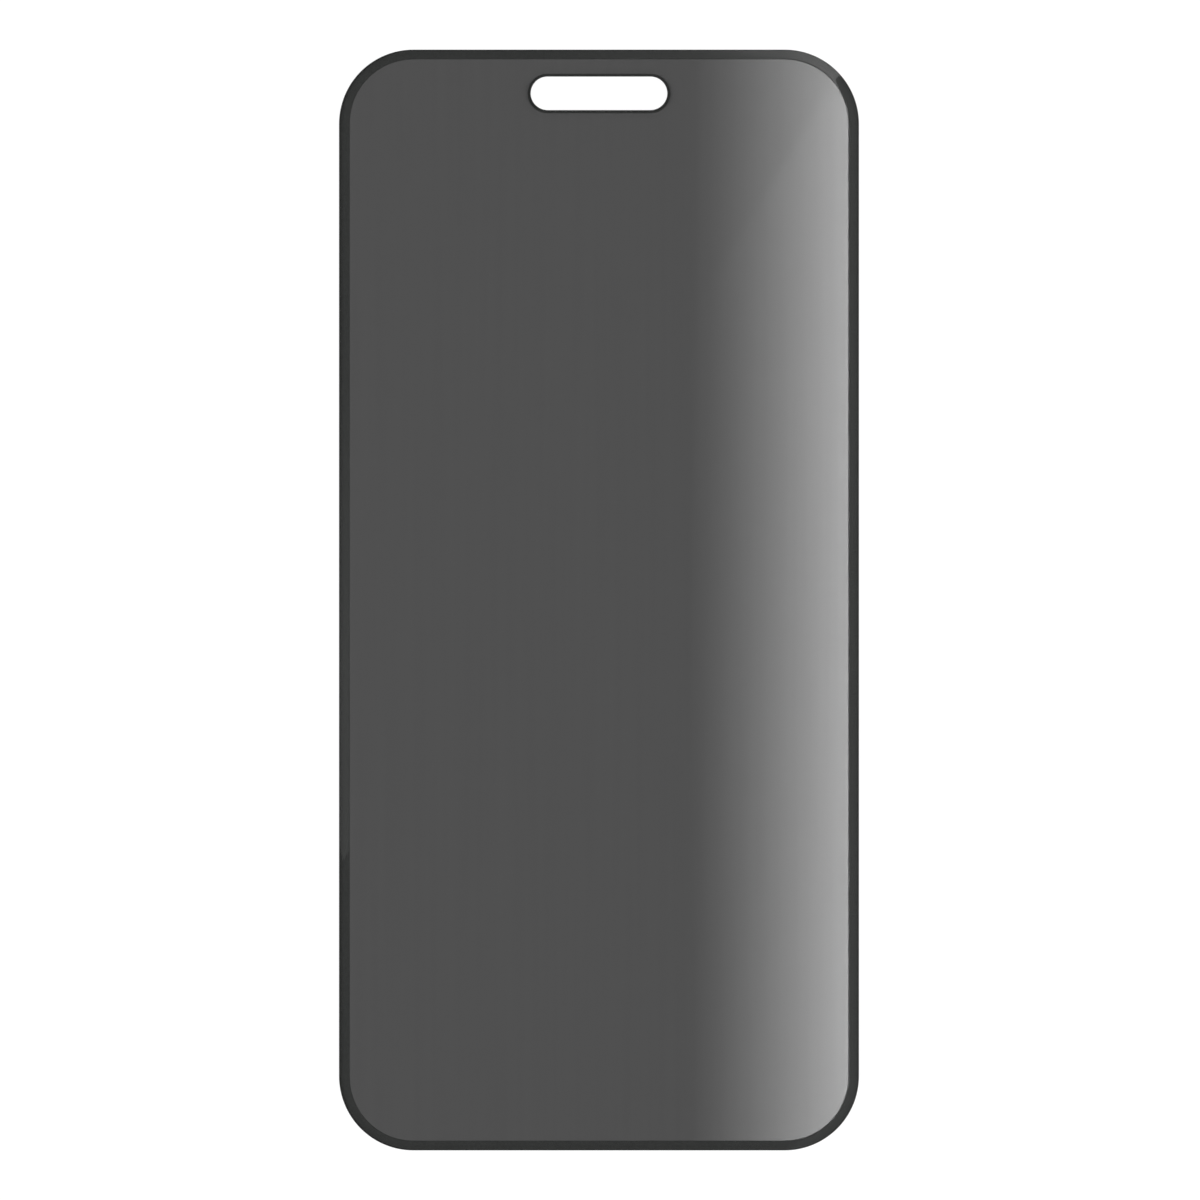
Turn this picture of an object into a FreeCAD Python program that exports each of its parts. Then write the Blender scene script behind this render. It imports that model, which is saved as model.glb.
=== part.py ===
# Phone privacy screen protector, lying on its adhesive face with the glass up.
#
# It is a laminate: a dark privacy film carries a black printed border and a thin printed line
# round the sensor slot, and a tempered cover glass with a ground arc edge is bonded over them.
# Millimetres. X runs across the sheet, Y runs along it towards the slot, and Z is up. The origin
# is the middle of the sheet, on the face that sticks to the phone.
import FreeCAD
import Part
import Sketcher
import enum
import math
import os
import types

doc = FreeCAD.newDocument("privacy_screen_protector")

# The driving sizes, each with what it measures.
SIZES = [
    ("window_width", 71.2, "clear window inside the black border, across"),
    ("window_length", 154.4, "clear window inside the black border, along"),
    ("window_corner", 9.1, "corner radius of the clear window"),
    ("side_border", 1.5, "black border from window to glass edge, each long side"),
    ("end_border", 1.35, "black border from window to glass edge, each short end"),
    ("slot_length", 19.5, "sensor slot, overall length across the sheet"),
    ("slot_width", 4.8, "sensor slot, width along the sheet"),
    ("slot_drop", 4.88, "window's top edge down to the slot's centre line"),
    ("slot_border", 0.42, "printed line round the slot"),
    ("slot_chamfer", 0.1, "edge break on the slot's upper rim"),
    ("glass_thickness", 0.33, "tempered cover glass"),
    ("arc_width", 1.3, "ground arc edge, inwards from the glass edge"),
    ("arc_drop", 0.2, "ground arc edge, down from the top face"),
    ("film_thickness", 0.15, "privacy film with its adhesive back"),
    ("film_inset", 0.05, "film and print stand back from the glass edge and from the slot"),
    ("print_thickness", 0.02, "printed ink"),
    ("bond_line", 0.01, "clear bond between the ink and the glass"),
]

sheet = doc.addObject("Spreadsheet::Sheet", "sizes")
for row, (alias, millimetres, meaning) in enumerate(SIZES, start=1):
    sheet.set(f"A{row}", meaning)
    sheet.set(f"B{row}", str(millimetres))
    sheet.setAlias(f"B{row}", alias)
doc.recompute()


class Size:
    """A length as a number, for drawing, and as the expression that ties it to the sheet."""

    def __init__(self, value, expression):
        self.value = value
        self.expression = expression

    def __add__(self, other):
        return Size(self.value + other.value, f"({self.expression} + {other.expression})")

    def __sub__(self, other):
        return Size(self.value - other.value, f"({self.expression} - {other.expression})")

    def __mul__(self, factor):
        return Size(self.value * factor, f"({self.expression} * {factor})")


size = types.SimpleNamespace(
    **{alias: Size(getattr(sheet, alias), f"sizes.{alias}") for alias, *_ in SIZES}
)

# Outlines and places that more than one layer shares.
glass_width = size.window_width + size.side_border * 2
glass_length = size.window_length + size.end_border * 2
glass_corner = size.window_corner + size.side_border
film_width = glass_width - size.film_inset * 2
film_length = glass_length - size.film_inset * 2
film_corner = glass_corner - size.film_inset
slot_centre = size.window_length * 0.5 - size.slot_drop

# Heights of the undersides of the layers that lie on the film.
print_level = size.film_thickness
glass_level = print_level + size.print_thickness + size.bond_line


class Point(enum.IntEnum):
    """The points of a sketch element."""

    START = 1
    END = 2
    CENTRE = 3


class Axis(enum.IntEnum):
    """The axes of a sketch, which cross at the start point of the horizontal one."""

    HORIZONTAL = -1
    VERTICAL = -2


ORIGIN = (Axis.HORIZONTAL, Point.START)


def new_body(label):
    body = doc.addObject("PartDesign::Body", label)
    body.Label = label
    return body


def raise_to(body, level):
    """Lifts a layer so that its underside lies at the given height."""
    body.setExpression("Placement.Base.z", level.expression)


def new_sketch(body, name, role="XY_Plane"):
    """An empty sketch on one of the body's own origin planes."""
    plane = next(feature for feature in body.Origin.OriginFeatures if feature.Role == role)
    sketch = body.newObject("Sketcher::SketchObject", name)
    sketch.AttachmentSupport = [(plane, "")]
    sketch.MapMode = "FlatFace"
    return sketch


def constrain(sketch, kind, *places):
    return sketch.addConstraint(Sketcher.Constraint(kind, *places))


def dimension(sketch, length, kind, *places):
    """A driving dimension that follows the sheet."""
    number = constrain(sketch, kind, *places, length.value)
    sketch.setExpression(f"Constraints[{number}]", length.expression)


def line(x0, y0, x1, y1):
    return Part.LineSegment(FreeCAD.Vector(x0, y0, 0), FreeCAD.Vector(x1, y1, 0))


def arc(x, y, radius, first_degrees, last_degrees):
    circle = Part.Circle(FreeCAD.Vector(x, y, 0), FreeCAD.Vector(0, 0, 1), radius)
    return Part.ArcOfCircle(circle, math.radians(first_degrees), math.radians(last_degrees))


def draw_loop(sketch, joint, *shapes):
    """Draws lines and arcs that follow each other round a closed loop, and joins their ends."""
    elements = [sketch.addGeometry(shape) for shape in shapes]
    for element, following in zip(elements, elements[1:] + elements[:1]):
        constrain(sketch, joint, element, Point.END, following, Point.START)
    return elements


def rounded_rectangle(sketch, width, length, corner):
    """Four sides and four equal corner arcs, centred on the origin."""
    x = width.value / 2
    y = length.value / 2
    radius = corner.value
    arc_x = x - radius
    arc_y = y - radius
    bottom, first_arc, right, second_arc, top, third_arc, left, fourth_arc = draw_loop(
        sketch,
        "Tangent",
        line(-arc_x, -y, arc_x, -y),
        arc(arc_x, -arc_y, radius, -90, 0),
        line(x, -arc_y, x, arc_y),
        arc(arc_x, arc_y, radius, 0, 90),
        line(arc_x, y, -arc_x, y),
        arc(-arc_x, arc_y, radius, 90, 180),
        line(-x, arc_y, -x, -arc_y),
        arc(-arc_x, -arc_y, radius, 180, 270),
    )
    for side in (bottom, top):
        constrain(sketch, "Horizontal", side)
    for side in (right, left):
        constrain(sketch, "Vertical", side)
    for other_arc in (second_arc, third_arc, fourth_arc):
        constrain(sketch, "Equal", first_arc, other_arc)
    constrain(sketch, "Symmetric", bottom, Point.START, top, Point.START, *ORIGIN)
    dimension(sketch, width, "DistanceX", left, Point.START, right, Point.START)
    dimension(sketch, length, "DistanceY", bottom, Point.START, top, Point.START)
    dimension(sketch, corner, "Radius", first_arc)


def pill(sketch, width):
    """The slot's outline at the given width: round ends on centres that stay where they are."""
    centre_distance = size.slot_length - size.slot_width
    radius = width.value / 2
    x = centre_distance.value / 2
    y = slot_centre.value
    bottom, right, top, left = draw_loop(
        sketch,
        "Tangent",
        line(-x, y - radius, x, y - radius),
        arc(x, y, radius, -90, 90),
        line(x, y + radius, -x, y + radius),
        arc(-x, y, radius, 90, 270),
    )
    constrain(sketch, "Symmetric", bottom, Point.START, bottom, Point.END, Axis.VERTICAL)
    constrain(sketch, "Horizontal", top)
    dimension(sketch, centre_distance, "DistanceX", left, Point.CENTRE, right, Point.CENTRE)
    dimension(sketch, width, "DistanceY", bottom, Point.START, top, Point.END)
    dimension(sketch, slot_centre, "DistanceY", *ORIGIN, right, Point.CENTRE)


def pad(body, sketch, thickness):
    feature = body.newObject("PartDesign::Pad", f"{body.Label}_pad")
    feature.Profile = sketch
    feature.setExpression("Length", thickness.expression)
    return feature


def cut_slot(body, width):
    """Cuts the slot right through a layer, upwards from its underside."""
    sketch = new_sketch(body, f"{body.Label}_slot_outline")
    pill(sketch, width)
    feature = body.newObject("PartDesign::Pocket", f"{body.Label}_slot")
    feature.Profile = sketch
    feature.Type = "ThroughAll"
    feature.Reversed = True
    return feature


# Privacy film: a flat louvre film, the lowest layer, with the slot punched through it.
film = new_body("privacy_film")
film_outline = new_sketch(film, "film_outline")
rounded_rectangle(film_outline, film_width, film_length, film_corner)
film_pad = pad(film, film_outline, size.film_thickness)
film_slot_width = size.slot_width + size.film_inset * 2
film_slot = cut_slot(film, film_slot_width)

# Black border: a printed frame from the film's edge to the clear window.
border = new_body("border_print")
raise_to(border, print_level)
border_outline = new_sketch(border, "border_outline")
rounded_rectangle(border_outline, film_width, film_length, film_corner)
rounded_rectangle(border_outline, size.window_width, size.window_length, size.window_corner)
pad(border, border_outline, size.print_thickness)

# Slot line: a thin printed ring that follows the slot's edge.
slot_line = new_body("slot_print")
raise_to(slot_line, print_level)
slot_line_outline = new_sketch(slot_line, "slot_line_outline")
pill(slot_line_outline, size.slot_width + size.slot_border * 2)
pill(slot_line_outline, film_slot_width)
pad(slot_line, slot_line_outline, size.print_thickness)

# Cover glass: a flat sheet with the slot cut through it.
glass = new_body("cover_glass")
raise_to(glass, glass_level)
glass_outline = new_sketch(glass, "glass_outline")
rounded_rectangle(glass_outline, glass_width, glass_length, glass_corner)
glass_pad = pad(glass, glass_outline, size.glass_thickness)
glass_slot = cut_slot(glass, size.slot_width)
doc.recompute()


def on_slot_rim(point):
    """Whether a corner point of the glass lies on the slot's upper rim."""
    reach_x = size.slot_length.value / 2
    reach_y = size.slot_width.value / 2 + size.slot_chamfer.value
    lowest = size.glass_thickness.value - size.slot_chamfer.value
    inside_slot = abs(point.x) < reach_x and abs(point.y - slot_centre.value) < reach_y
    return inside_slot and point.z > lowest


# Slot rim: a small edge break on the slot's upper rim.
slot_rim = glass.newObject("PartDesign::Chamfer", "slot_rim")
rim_edges = [
    f"Edge{number}"
    for number, edge in enumerate(glass_slot.Shape.Edges, start=1)
    if all(on_slot_rim(vertex.Point) for vertex in edge.Vertexes)
]
slot_rim.Base = (glass_slot, rim_edges)
slot_rim.setExpression("Size", size.slot_chamfer.expression)

# Arc edge: the section that a grinding wheel takes off the upper edge, run once round the
# outline. Its arc leaves the top face tangent to it and meets the edge lower down by the drop.
wheel = new_sketch(glass, "arc_edge_section", "XZ_Plane")
edge_x = glass_width * 0.5
inner_x = edge_x - size.arc_width
outer_x = edge_x + size.arc_drop
top_z = size.glass_thickness
edge_z = top_z - size.arc_drop
above_z = top_z + size.arc_drop
arc_radius = math.hypot(size.arc_width.value, size.arc_drop.value) ** 2 / (2 * size.arc_drop.value)
edge_degrees = math.degrees(math.acos(size.arc_width.value / arc_radius))
ground_arc, inner_wall, roof, outer_wall, shelf = draw_loop(
    wheel,
    "Coincident",
    arc(inner_x.value, top_z.value - arc_radius, arc_radius, edge_degrees, 90),
    line(inner_x.value, top_z.value, inner_x.value, above_z.value),
    line(inner_x.value, above_z.value, outer_x.value, above_z.value),
    line(outer_x.value, above_z.value, outer_x.value, edge_z.value),
    line(outer_x.value, edge_z.value, edge_x.value, edge_z.value),
)
for level_line in (roof, shelf):
    constrain(wheel, "Horizontal", level_line)
for upright_line in (inner_wall, outer_wall):
    constrain(wheel, "Vertical", upright_line)
constrain(wheel, "Vertical", ground_arc, Point.CENTRE, ground_arc, Point.END)
dimension(wheel, inner_x, "DistanceX", *ORIGIN, ground_arc, Point.END)
dimension(wheel, top_z, "DistanceY", *ORIGIN, ground_arc, Point.END)
dimension(wheel, edge_x, "DistanceX", *ORIGIN, ground_arc, Point.START)
dimension(wheel, edge_z, "DistanceY", *ORIGIN, ground_arc, Point.START)
dimension(wheel, outer_x, "DistanceX", *ORIGIN, outer_wall, Point.START)
dimension(wheel, above_z, "DistanceY", *ORIGIN, outer_wall, Point.START)

arc_edge = glass.newObject("PartDesign::SubtractivePipe", "arc_edge")
arc_edge.Profile = wheel
arc_edge.Spine = glass_outline
doc.recompute()

# Nothing is written unless every object is sound and every cut has removed something.
for item in doc.Objects:
    if {"Invalid", "Error"} & set(item.State):
        raise RuntimeError(f"{item.Name} failed: {item.State}")
    if item.TypeId == "Sketcher::SketchObject" and not item.FullyConstrained:
        raise RuntimeError(f"{item.Name} has a size that nothing sets")
for before, after in (
    (film_pad, film_slot),
    (glass_pad, glass_slot),
    (glass_slot, slot_rim),
    (slot_rim, arc_edge),
):
    if after.Shape.Volume >= before.Shape.Volume:
        raise RuntimeError(f"{after.Name} removed nothing")

layers = (film, border, slot_line, glass)
for layer in layers:
    if layer.Shape.isNull() or not layer.Shape.isValid():
        raise RuntimeError(f"{layer.Label} is not a sound solid")

os.makedirs("parts", exist_ok=True)
for layer in layers:
    layer.Shape.exportStep(f"parts/{layer.Label}.step")
    print(f"{layer.Label}: {layer.Shape.Volume:.3f} mm3, {len(layer.Shape.Faces)} faces")
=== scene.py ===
# Phone privacy screen protector: a dark louvre film and a black printed border, laminated under a
# thin sheet of tempered glass. The sections follow the layers, from the phone's screen upwards.
import math

import bpy
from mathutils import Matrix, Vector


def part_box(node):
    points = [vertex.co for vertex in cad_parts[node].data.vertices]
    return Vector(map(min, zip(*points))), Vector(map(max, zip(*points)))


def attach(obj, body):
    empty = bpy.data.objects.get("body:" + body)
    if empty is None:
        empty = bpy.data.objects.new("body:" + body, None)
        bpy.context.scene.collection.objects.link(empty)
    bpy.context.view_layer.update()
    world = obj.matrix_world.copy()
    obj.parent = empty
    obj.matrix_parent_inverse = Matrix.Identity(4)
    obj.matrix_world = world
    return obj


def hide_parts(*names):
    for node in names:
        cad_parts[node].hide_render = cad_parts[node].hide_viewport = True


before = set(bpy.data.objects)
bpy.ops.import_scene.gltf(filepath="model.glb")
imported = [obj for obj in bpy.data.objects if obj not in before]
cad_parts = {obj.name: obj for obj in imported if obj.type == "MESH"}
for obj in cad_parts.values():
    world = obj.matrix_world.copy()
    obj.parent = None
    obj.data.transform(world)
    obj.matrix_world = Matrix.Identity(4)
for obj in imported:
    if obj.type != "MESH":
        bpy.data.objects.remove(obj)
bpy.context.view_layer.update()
bpy.ops.object.select_all(action="DESELECT")


# Privacy film: a dark grey plastic sheet whose fine louvres run up the screen, so that it is only
# clear from the front. It is bonded flat to the glass and carries the glass's shine there, and a
# silicone adhesive on its back grips the phone.
class Signal:
    """A node's output. Python's operators on signals add the Math nodes that work them out."""

    def __init__(self, socket):
        self.socket = socket

    @classmethod
    def node(cls, tree, kind, settings, sockets, output=0):
        """Adds a node to a tree: its settings first, then the values and links of its sockets."""
        made = tree.nodes.new(kind)
        for setting, value in settings.items():
            if setting == "stops":
                for stop, (place, shade) in zip(made.color_ramp.elements, value):
                    stop.position = place
                    stop.color = (*shade, 1)
            else:
                setattr(made, setting, value)
        for name, value in sockets.items():
            if isinstance(value, Signal):
                tree.links.new(value.socket, made.inputs[name])
            else:
                made.inputs[name].default_value = value
        return cls(made.outputs[output])

    def maths(self, operation, first, second):
        """Adds a Math node to the signal's own tree."""
        tree = self.socket.id_data
        return Signal.node(tree, "ShaderNodeMath", {"operation": operation}, {0: first, 1: second})

    def __abs__(self):
        return self.maths("ABSOLUTE", self, 0)

    def __add__(self, other):
        return self.maths("ADD", self, other)

    def __radd__(self, other):
        return self.maths("ADD", other, self)

    def __sub__(self, other):
        return self.maths("SUBTRACT", self, other)

    def __rsub__(self, other):
        return self.maths("SUBTRACT", other, self)

    def __mul__(self, other):
        return self.maths("MULTIPLY", self, other)

    def __rmul__(self, other):
        return self.maths("MULTIPLY", other, self)

    def __truediv__(self, other):
        return self.maths("DIVIDE", self, other)

    def __lt__(self, other):
        return self.maths("LESS_THAN", self, other)

    def __gt__(self, other):
        return self.maths("GREATER_THAN", self, other)


mm = 0.001
grain_low = 0.3
grain_high = 0.7


def bare_tree(owner):
    """Turns on the nodes of a material or world, and leaves only its output."""
    owner.use_nodes = True
    tree = owner.node_tree
    for node in list(tree.nodes):
        if not node.type.startswith("OUTPUT"):
            tree.nodes.remove(node)
    return tree


def show(tree, shader):
    """Links a shader to its tree's output."""
    tree.links.new(shader.socket, tree.nodes[0].inputs["Surface"])


def place_on_piece(tree):
    """The place of a surface point on its piece."""
    return Signal.node(tree, "ShaderNodeTexCoord", {}, {}, "Object")


def axis(tree, place, letter):
    """One number of a place, along X, Y or Z."""
    return Signal.node(tree, "ShaderNodeSeparateXYZ", {}, {"Vector": place}, letter)


def grain(tree, place, size, detail):
    """Noise with spots of about the given size."""
    spots = {"Vector": place, "Scale": 1 / size, "Detail": detail}
    return Signal.node(tree, "ShaderNodeTexNoise", {}, spots)


def tone(tree, noise, shadow, light):
    """A colour that noise moves between a shadow and a light tone."""
    stops = [(grain_low, shadow), (grain_high, light)]
    return Signal.node(tree, "ShaderNodeValToRGB", {"stops": stops}, {0: noise})


def relief(tree, noise, strength, height):
    """A normal that noise raises into bumps of about the given height."""
    bumps = {"Height": noise, "Strength": strength, "Distance": height}
    return Signal.node(tree, "ShaderNodeBump", {}, bumps)


film_shadow = (0.071, 0.071, 0.071)
film_light = (0.073, 0.073, 0.073)
film_roughness = 0.006
film_index = 1.5
film_specular = 1
louvre_width = 1.2 * mm
louvre_length = 60 * mm
louvre_height = 0.0003 * mm
louvre_relief = 0.5
louvre_roughness = 0.008
adhesive_thickness = 0.03 * mm
adhesive_roughness = 0.15

film_finish = bpy.data.materials.new("louvre_film")
film_tree = bare_tree(film_finish)
film_place = place_on_piece(film_tree)
lane_scale = (1 / louvre_width, 1 / louvre_length, 1 / louvre_length)
lanes = Signal.node(film_tree, "ShaderNodeMapping", {}, {"Vector": film_place, "Scale": lane_scale})
louvres = grain(film_tree, lanes, size=1, detail=1)
adhesive = axis(film_tree, film_place, "Z") < adhesive_thickness
film_shader = Signal.node(
    film_tree,
    "ShaderNodeBsdfPrincipled",
    {},
    {
        "Base Color": tone(film_tree, louvres, film_shadow, film_light),
        "Roughness": film_roughness + louvre_roughness * louvres + adhesive_roughness * adhesive,
        "IOR": film_index,
        "Specular IOR Level": film_specular,
        "Normal": relief(film_tree, louvres, louvre_relief, louvre_height),
    },
)
show(film_tree, film_shader)
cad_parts["privacy_film"].material_slots[0].material = film_finish


# Black border and slot line: dense black ink, screen printed in one pass on the back of the glass.
# The border hides the edge of the phone's display, and the thin line trims the sensor slot.
ink_shadow = (0.0275, 0.0286, 0.0277)
ink_light = (0.0325, 0.0338, 0.0329)
ink_roughness = 0.45
pigment_size = 0.35 * mm
pigment_height = 0.01 * mm
pigment_relief = 0.15
pigment_roughness = 0.2

ink_finish = bpy.data.materials.new("black_ink")
ink_tree = bare_tree(ink_finish)
pigment = grain(ink_tree, place_on_piece(ink_tree), pigment_size, detail=3)
ink_shader = Signal.node(
    ink_tree,
    "ShaderNodeBsdfPrincipled",
    {},
    {
        "Base Color": tone(ink_tree, pigment, ink_shadow, ink_light),
        "Roughness": ink_roughness + pigment_roughness * pigment,
        "Specular IOR Level": 0,
        "Normal": relief(ink_tree, pigment, pigment_relief, pigment_height),
    },
)
show(ink_tree, ink_shader)
for printed in ("border_print", "slot_print"):
    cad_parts[printed].material_slots[0].material = ink_finish


# Cover glass: a sheet of tempered glass cut to the phone's outline, with the slot cut through it.
# Its top edge is ground to a shallow arc and polished. The rim of the arc, the slot's chamfer and the
# cut walls are left fine ground, in a near-black tone a little darker than the ink: partly the dark
# look of the ground glass, partly painted shade that draws a dark line along the outline and round
# the slot.
glass_low, glass_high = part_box("cover_glass")
glass_size = glass_high - glass_low
glass_corner = 10.6 * mm
arc_width = 1.3 * mm
arc_drop = 0.2 * mm
arc_radius = (arc_width**2 + arc_drop**2) / (2 * arc_drop)
arc_steps = 12
flat_margin = 0.05 * mm
slot_length = 19.5 * mm
slot_width = 4.8 * mm
slot_y = 72.32 * mm
slot_chamfer = 0.1 * mm
cut_clearance = 1 * mm
corner_segments = 32
weld_distance = 0.0001 * mm
smooth_angle = math.radians(30)


def rounded_sheet(name, centre, width, length, corner):
    """Adds a flat sheet with rounded corners, and leaves it selected in edit mode."""
    bpy.ops.object.select_all(action="DESELECT")
    bpy.ops.mesh.primitive_plane_add(size=1)
    sheet = bpy.context.object
    sheet.name = name
    bpy.ops.object.mode_set(mode="EDIT")
    bpy.ops.transform.resize(value=(width, length, 1))
    bpy.ops.transform.translate(value=centre)
    bpy.ops.mesh.bevel(offset=corner, segments=corner_segments, affect="VERTICES")
    bpy.ops.mesh.remove_doubles(threshold=weld_distance)
    return sheet


def raise_sheet(height):
    """Extrudes the selected sheet upwards into a solid."""
    bpy.ops.mesh.extrude_region_move(TRANSFORM_OT_translate={"value": (0, 0, height)})


def leave_solid():
    """Turns all the faces of the solid outwards, and leaves edit mode."""
    bpy.ops.mesh.select_all(action="SELECT")
    bpy.ops.mesh.normals_make_consistent(inside=False)
    bpy.ops.object.mode_set(mode="OBJECT")


glass_foot = (0, 0, glass_low.z)
glass = rounded_sheet("tempered_glass", glass_foot, glass_size.x, glass_size.y, glass_corner)
raise_sheet(glass_size.z - arc_drop)
# The arc leaves the wall at its steepest, and each step of it is an equal turn towards the flat top.
steepest = math.asin(arc_width / arc_radius)
for step in range(arc_steps):
    turn = steepest * (1 - step / arc_steps)
    next_turn = steepest * (1 - (step + 1) / arc_steps)
    inward = arc_radius * (math.sin(turn) - math.sin(next_turn))
    upward = arc_radius * (math.cos(next_turn) - math.cos(turn))
    bpy.ops.mesh.inset(thickness=inward, depth=upward)
bpy.ops.mesh.inset(thickness=flat_margin)
leave_solid()

cutter_foot = (0, slot_y, glass_low.z - cut_clearance)
slot_cutter = rounded_sheet("slot_cutter", cutter_foot, slot_length, slot_width, slot_width / 2)
raise_sheet(glass_size.z + 2 * cut_clearance)
leave_solid()

bpy.context.view_layer.objects.active = glass
cut = glass.modifiers.new("sensor_slot", "BOOLEAN")
cut.object = slot_cutter
cut.operation = "DIFFERENCE"
bpy.ops.object.modifier_apply(modifier=cut.name)
bpy.data.objects.remove(slot_cutter)


def on_slot_rim(vertex):
    """True for a vertex at the slot's top edge."""
    past_end = abs(vertex.co.x) > slot_length / 2 + flat_margin
    past_side = abs(vertex.co.y - slot_y) > slot_width / 2 + flat_margin
    below = vertex.co.z < glass_high.z - flat_margin
    return not (past_end or past_side or below)


glass.select_set(True)
bpy.ops.object.mode_set(mode="EDIT")
bpy.ops.mesh.select_mode(type="EDGE")
bpy.ops.mesh.select_all(action="DESELECT")
bpy.ops.object.mode_set(mode="OBJECT")
corners = glass.data.vertices
for edge in glass.data.edges:
    edge.select = all(on_slot_rim(corners[index]) for index in edge.vertices)
bpy.ops.object.mode_set(mode="EDIT")
bpy.ops.mesh.bevel(offset=slot_chamfer, segments=1, affect="EDGES")
bpy.ops.object.mode_set(mode="OBJECT")
bpy.ops.object.shade_smooth_by_angle(angle=smooth_angle)

white = (1, 1, 1, 1)
glass_index = 1.5
polish_roughness = 0.01
haze_size = 6 * mm
haze_roughness = 0.015
window_width = 71.2 * mm
window_length = 154.4 * mm
window_corner = 9.1 * mm
slot_line = 0.42 * mm
top_tolerance = 0.01 * mm


def past_outline(x, y, width, length, corner):
    """1 outside a rounded rectangle, and 0 inside it."""
    past_x = x.maths("MAXIMUM", abs(x) - (width / 2 - corner), 0)
    past_y = y.maths("MAXIMUM", abs(y) - (length / 2 - corner), 0)
    return past_x * past_x + past_y * past_y > corner**2


polished_glass = bpy.data.materials.new("polished_glass")
glass_tree = bare_tree(polished_glass)
glass_place = place_on_piece(glass_tree)
glass_x = axis(glass_tree, glass_place, "X")
glass_y = axis(glass_tree, glass_place, "Y")
glass_z = axis(glass_tree, glass_place, "Z")
haze = grain(glass_tree, glass_place, haze_size, detail=3)
clear = Signal.node(glass_tree, "ShaderNodeBsdfTransparent", {}, {"Color": white})
shine = Signal.node(
    glass_tree,
    "ShaderNodeBsdfGlossy",
    {},
    {"Color": white, "Roughness": polish_roughness + haze_roughness * haze},
)
# The back of the glass is bonded to the film and the ink, and the film mirrors for the glass over
# the window, so the glass itself mirrors only over the ink.
over_border = past_outline(glass_x, glass_y, window_width, window_length, window_corner)
past_slot_line = past_outline(
    glass_x,
    glass_y - slot_y,
    slot_length + 2 * slot_line,
    slot_width + 2 * slot_line,
    slot_width / 2 + slot_line,
)
on_top = glass_z > glass_high.z - arc_drop - top_tolerance
over_ink = on_top * (over_border + 1 - past_slot_line)
inside = Signal.node(glass_tree, "ShaderNodeNewGeometry", {}, {}, "Backfacing")
fresnel = Signal.node(glass_tree, "ShaderNodeFresnel", {}, {"IOR": glass_index})
mirrored = fresnel * (1 - inside) * over_ink
show(
    glass_tree,
    Signal.node(glass_tree, "ShaderNodeMixShader", {}, {0: mirrored, 1: clear, 2: shine}),
)

# The ground tone is near black, a little darker than the ink, and is partly painted shade: on the rim
# and the slot's chamfer it draws a dark line along the outline and round the slot.
ground_shadow = (0.02, 0.021, 0.0205)
ground_light = (0.03, 0.0315, 0.031)
ground_roughness = 0.4
ground_specular = 0.25
ground_slope = math.radians(16)
scratch_size = 0.06 * mm
scratch_height = 0.01 * mm
scratch_relief = 0.3
scratch_roughness = 0.2

ground_glass_and_edge_shade = bpy.data.materials.new("ground_glass_and_edge_shade")
ground_tree = bare_tree(ground_glass_and_edge_shade)
scratches = grain(ground_tree, place_on_piece(ground_tree), scratch_size, detail=2)
ground_shader = Signal.node(
    ground_tree,
    "ShaderNodeBsdfPrincipled",
    {},
    {
        "Base Color": tone(ground_tree, scratches, ground_shadow, ground_light),
        "Roughness": ground_roughness + scratch_roughness * scratches,
        "Specular IOR Level": ground_specular,
        "IOR": glass_index,
        "Normal": relief(ground_tree, scratches, scratch_relief, scratch_height),
    },
)
show(ground_tree, ground_shader)

glass.data.materials.append(polished_glass)
glass.data.materials.append(ground_glass_and_edge_shade)
# Faces steeper than the ground slope take the ground glass, so the outer ring of the arc and the
# slot's chamfer carry its painted shade as a dark line.
for face in glass.data.polygons:
    is_ground_and_shaded = abs(face.normal.z) < math.cos(ground_slope)
    face.material_index = 1 if is_ground_and_shaded else 0
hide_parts("cover_glass")
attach(glass, "root")


# Floor: a white table top. The eye and the glass see it as plain white, apart from the soft shadow
# that the sheet leaves on it.
floor_side = 2
floor_gap = 0.02 * mm
floor_white = (0.9, 0.9, 0.9, 1)
floor_light = 1.08
floor_light_share = 0.85
bpy.ops.object.select_all(action="DESELECT")
bpy.ops.mesh.primitive_plane_add(size=floor_side, location=(0, 0, -floor_gap))
floor = bpy.context.object
floor.name = "white_table"
table_top = bpy.data.materials.new("white_table_top")
floor_tree = bare_tree(table_top)
seen = Signal.node(floor_tree, "ShaderNodeLightPath", {}, {}, "Is Camera Ray")
for ray in ("Is Glossy Ray", "Is Transmission Ray"):
    also_seen = Signal.node(floor_tree, "ShaderNodeLightPath", {}, {}, ray)
    seen = seen.maths("MAXIMUM", seen, also_seen)
paint = Signal.node(floor_tree, "ShaderNodeBsdfDiffuse", {}, {"Color": floor_white})
glow = Signal.node(
    floor_tree, "ShaderNodeEmission", {}, {"Color": white, "Strength": floor_light}
)
show(
    floor_tree,
    Signal.node(
        floor_tree, "ShaderNodeMixShader", {}, {0: floor_light_share * seen, 1: paint, 2: glow}
    ),
)
floor.data.materials.append(table_top)


# Camera: straight above the sheet, as in the photograph. Its height makes the frame 171.3 mm wide
# at the foot of the arc, where the sheet has its outline.
frame_width = 171.27 * mm
camera_lens = 85
camera_sensor = 36
camera_x = 0.143 * mm
camera_height = frame_width * camera_lens / camera_sensor + glass_high.z - arc_drop
camera_clip = 10 * mm
bpy.ops.object.camera_add(location=(camera_x, 0, camera_height), rotation=(0, 0, 0))
camera = bpy.context.object
camera.data.lens = camera_lens
camera.data.sensor_width = camera_sensor
camera.data.clip_start = camera_clip
bpy.context.scene.camera = camera
bpy.context.scene.view_settings.view_transform = "Standard"


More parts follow.
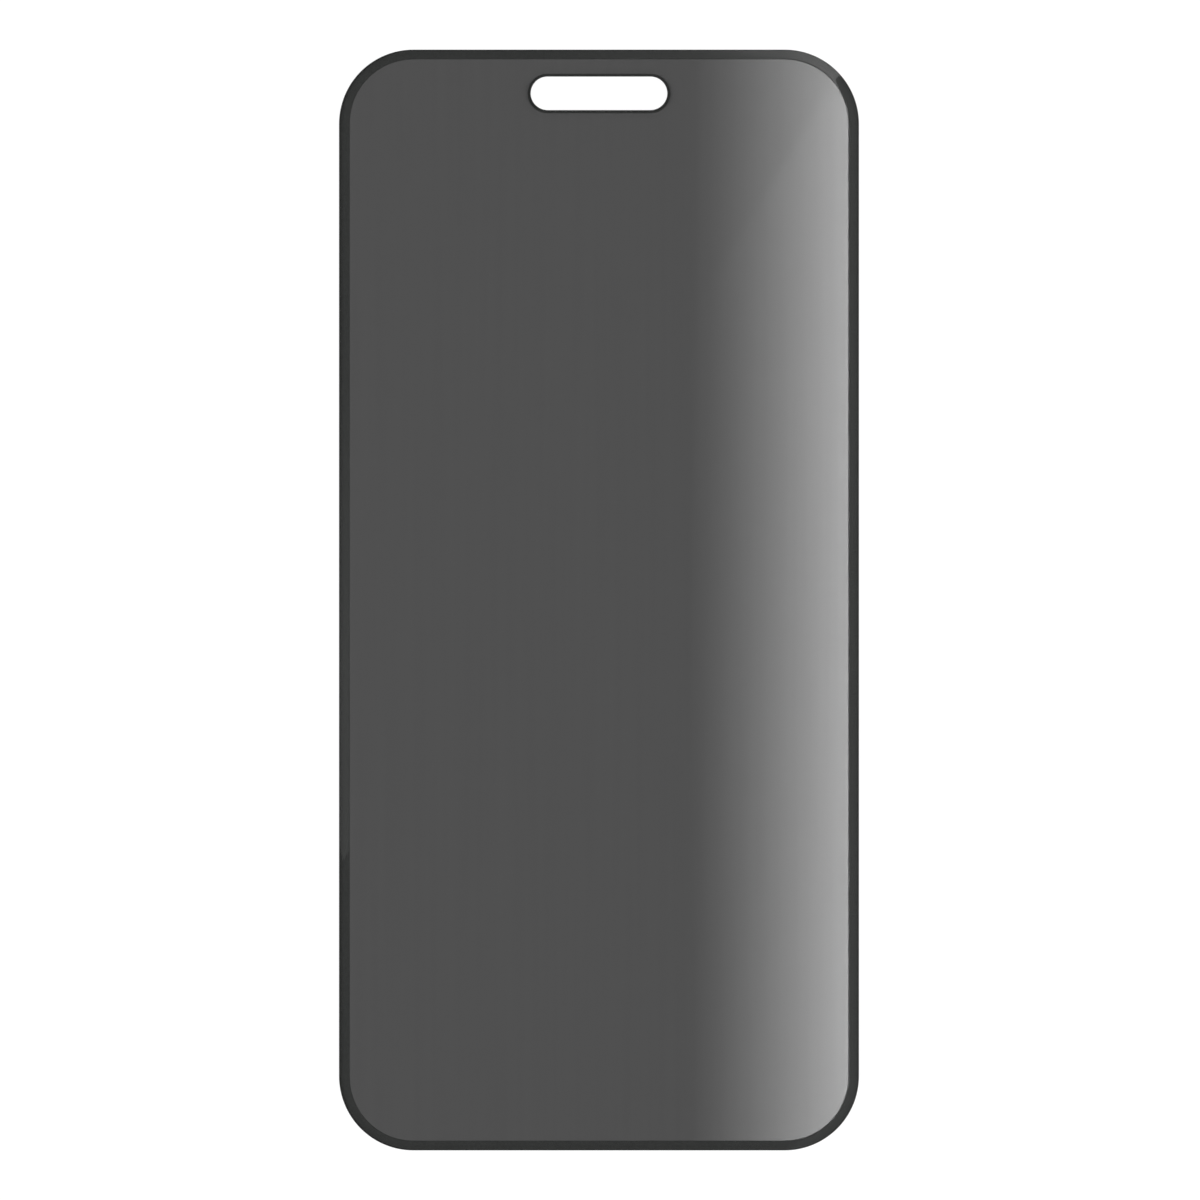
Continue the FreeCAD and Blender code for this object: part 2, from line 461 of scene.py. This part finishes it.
# Lights: a room with white walls and a dark ceiling, a little lighter on the right, and a softbox
# low on each side, which the glass doesn't mirror.
softbox_width = 0.5
softbox_height = 0.7
softbox_distance = 1.15
softbox_elevation = math.radians(30)
softbox_power = 9.0
for name, side in (("left_softbox", -1), ("right_softbox", 1)):
    bpy.ops.object.light_add(
        type="AREA",
        location=(
            side * softbox_distance * math.cos(softbox_elevation),
            0,
            softbox_distance * math.sin(softbox_elevation),
        ),
        rotation=(0, side * (math.pi / 2 - softbox_elevation), 0),
    )
    softbox = bpy.context.object
    softbox.name = name
    softbox.data.shape = "RECTANGLE"
    softbox.data.size = softbox_width
    softbox.data.size_y = softbox_height
    softbox.data.energy = softbox_power
    softbox.visible_glossy = False

wall_light = 0.9
wall_top = 0.1
ceiling_light = 0.15
ceiling_foot = 0.65
right_light = 0.28
right_start = 0.04
right_end = 0.12


def ramp(tree, value, start, end):
    """A signal that goes from 0 at start to 1 at end."""
    limits = {"Value": value, "From Min": start, "From Max": end}
    return Signal.node(tree, "ShaderNodeMapRange", {}, limits)


room = bpy.data.worlds.new("studio_room")
bpy.context.scene.world = room
room_tree = bare_tree(room)
towards = Signal.node(room_tree, "ShaderNodeTexCoord", {}, {}, "Generated")
walls = Signal.node(
    room_tree,
    "ShaderNodeMapRange",
    {"interpolation_type": "SMOOTHSTEP"},
    {
        "Value": axis(room_tree, towards, "Z"),
        "From Min": wall_top,
        "From Max": ceiling_foot,
        "To Min": wall_light,
        "To Max": ceiling_light,
    },
)
right_glow = right_light * ramp(room_tree, axis(room_tree, towards, "X"), right_start, right_end)
camera_ray = Signal.node(room_tree, "ShaderNodeLightPath", {}, {}, "Is Camera Ray")
room_light = camera_ray + (1 - camera_ray) * (walls + right_glow)
show(
    room_tree,
    Signal.node(room_tree, "ShaderNodeBackground", {}, {"Color": white, "Strength": room_light}),
)


# Reflection cards: clear sheets over the part, lit in places and seen only as its reflections. The
# side card is the glare in the window, and the top and left cards lighten stretches of the border.
def glare_card(name, left, right, bottom, top, height):
    """Adds a flat card over the sheet, and gives it with its bare material, its X and its Y."""
    bpy.ops.object.select_all(action="DESELECT")
    bpy.ops.mesh.primitive_plane_add(size=1)
    card = bpy.context.object
    card.name = name
    bpy.ops.object.mode_set(mode="EDIT")
    bpy.ops.transform.resize(value=(right - left, top - bottom, 1))
    bpy.ops.transform.translate(value=((left + right) / 2, (bottom + top) / 2, height))
    bpy.ops.object.mode_set(mode="OBJECT")
    card_light = bpy.data.materials.new(name + "_light")
    card.data.materials.append(card_light)
    tree = bare_tree(card_light)
    place = place_on_piece(tree)
    return card, tree, axis(tree, place, "X"), axis(tree, place, "Y")


def light_card(card, tree, light, mirror):
    """Lights a card so that its mirror shows the given light, added to what is behind the card."""
    veil = Signal.node(tree, "ShaderNodeBsdfTransparent", {}, {"Color": white})
    lamp = Signal.node(tree, "ShaderNodeEmission", {}, {"Color": light, "Strength": 1 / mirror})
    show(tree, Signal.node(tree, "ShaderNodeAddShader", {}, {0: veil, 1: lamp}))
    card.visible_camera = False
    card.visible_diffuse = False
    card.visible_shadow = False


def straight_mirror(index):
    """The share of light that a surface mirrors straight back."""
    return ((index - 1) / (index + 1)) ** 2


def past_window(x, y):
    """1 where a card is mirrored outside the window. The mirror shows it at half its size."""
    return past_outline(x + camera_x, y, 2 * window_width, 2 * window_length, 2 * window_corner)


def bend(rise, bow):
    """A rise from 0 to 1 that starts slower with a bow above 0, and faster with one below 0."""
    return rise * (1 - bow + bow * rise)


# A full specular level doubles what the film would mirror by its index alone.
film_mirror = 2 * film_specular * straight_mirror(film_index)
arc_mirror = straight_mirror(glass_index)
card_margin = 2 * mm
card_gap = 0.1 * mm

side_light = 0.31155
side_bow = 0.6468
side_start = 25.8 * mm
shade_depth = 0.12
shade_slope = 0.6264
shade_edge = -25.3 * mm
side_card, side_tree, side_x, side_y = glare_card(
    "side_card",
    left=0,
    right=window_width + card_margin,
    bottom=-window_length - card_margin,
    top=window_length + card_margin,
    height=camera_height,
)
side_rise = ramp(side_tree, side_x, side_start, window_width)
shaded = (side_x - shade_slope * side_y) < shade_edge
side_glow = side_light * bend(side_rise, side_bow) * (1 - shade_depth * shaded)
light_card(side_card, side_tree, side_glow * (1 - past_window(side_x, side_y)), film_mirror)

foot_light = 0.0085
foot_start = -17 * mm
foot_end = 23 * mm
climb_light = 0.0315
climb_bow = 0.7
climb_start = 24 * mm
climb_end = 55 * mm
lean_light = 0.029
lean_bow = -0.8
lean_foot = 135.9 * mm
fan_slope = 0.9626
fan_edge = 80.2 * mm
top_card, top_tree, top_x, top_y = glare_card(
    "top_card",
    left=foot_start,
    right=300 * mm,
    bottom=window_length - 2 * window_corner,
    top=460 * mm,
    height=camera_height + card_gap,
)
foot = ramp(top_tree, top_x, foot_start, foot_end)
climb = ramp(top_tree, top_x, climb_start, climb_end)
lean = ramp(top_tree, (top_x - climb_end) / (top_y - lean_foot), 0, 1)
fan = (top_y - fan_slope * top_x) > fan_edge
top_glow = foot_light * foot + climb_light * bend(climb, climb_bow) + lean_light * bend(lean, lean_bow)
light_card(top_card, top_tree, top_glow * fan * past_window(top_x, top_y), arc_mirror)

left_light = 0.0145
left_start = 86 * mm
left_end = -23 * mm
left_slope = 0.045
left_edge = -68.4 * mm
left_card, left_tree, left_x, left_y = glare_card(
    "left_card",
    left=-381.5 * mm,
    right=-window_width - camera_x,
    bottom=-80 * mm,
    top=100 * mm,
    height=camera_height,
)
left_rise = ramp(left_tree, left_y, left_start, left_end)
lit = (left_y - left_slope * left_x) > left_edge
light_card(left_card, left_tree, left_light * left_rise * lit, arc_mirror)
